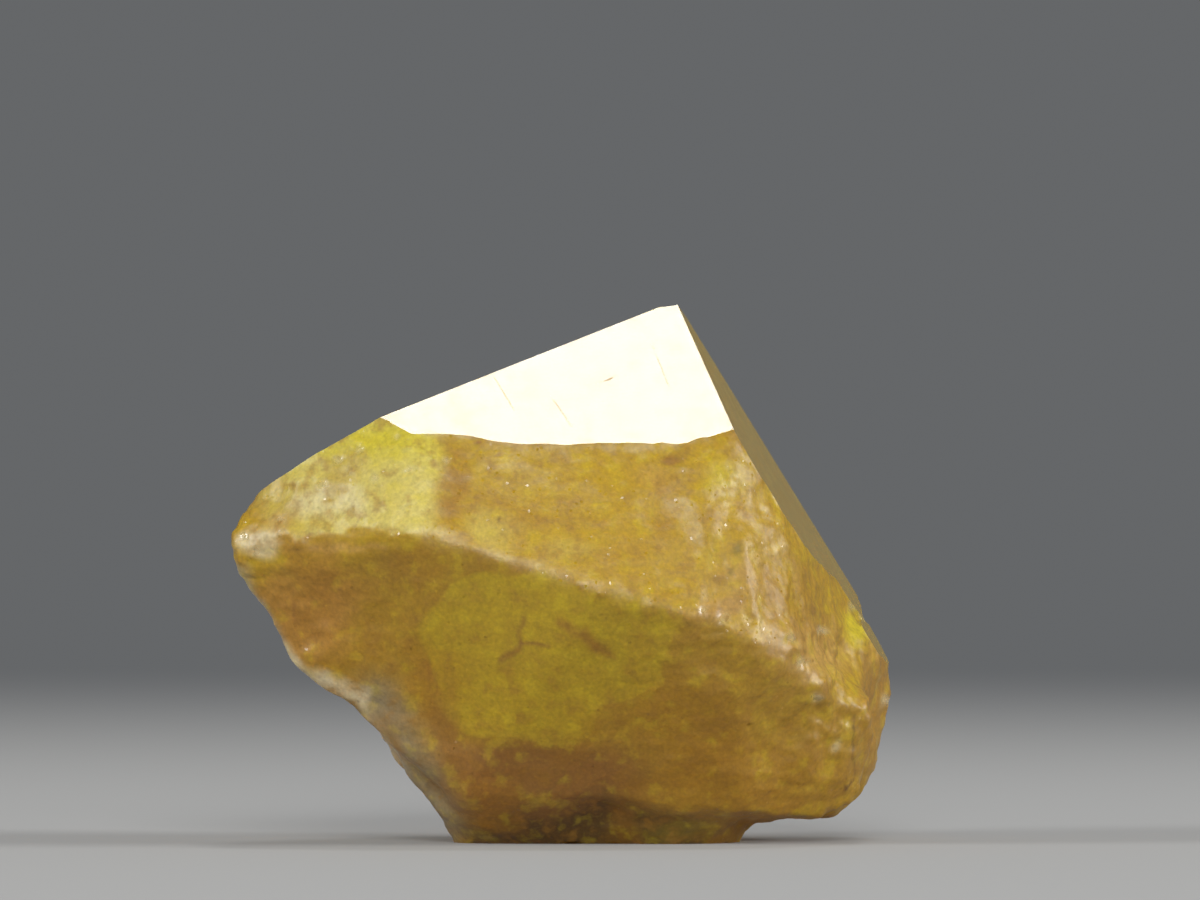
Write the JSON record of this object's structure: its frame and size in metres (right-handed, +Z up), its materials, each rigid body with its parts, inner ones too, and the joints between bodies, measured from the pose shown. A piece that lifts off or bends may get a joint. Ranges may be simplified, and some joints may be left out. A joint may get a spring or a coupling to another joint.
{
  "type": "rhodizite crystal",
  "caption": "Broken-off corner of a golden yellow rhombic-dodecahedral crystal, for display; flat grown faces above, glassy fracture below, resting on a small flat.",
  "frame": {"origin": "on the resting flat's plane, under the middle of the object's box", "axes": "+Z up; +X along the width, from the left tip to the knob; -Y towards the viewer who sees the bright grown face and the two front breaks"},
  "size_m": [0.015, 0.011, 0.0122],
  "materials": {
    "crystal": "vitreous: flat glossy grown faces and rougher broken surface, golden yellow, translucent"
  },
  "bodies": {
    "root": {"crystal": "crystal"}
  },
  "joints": []
}
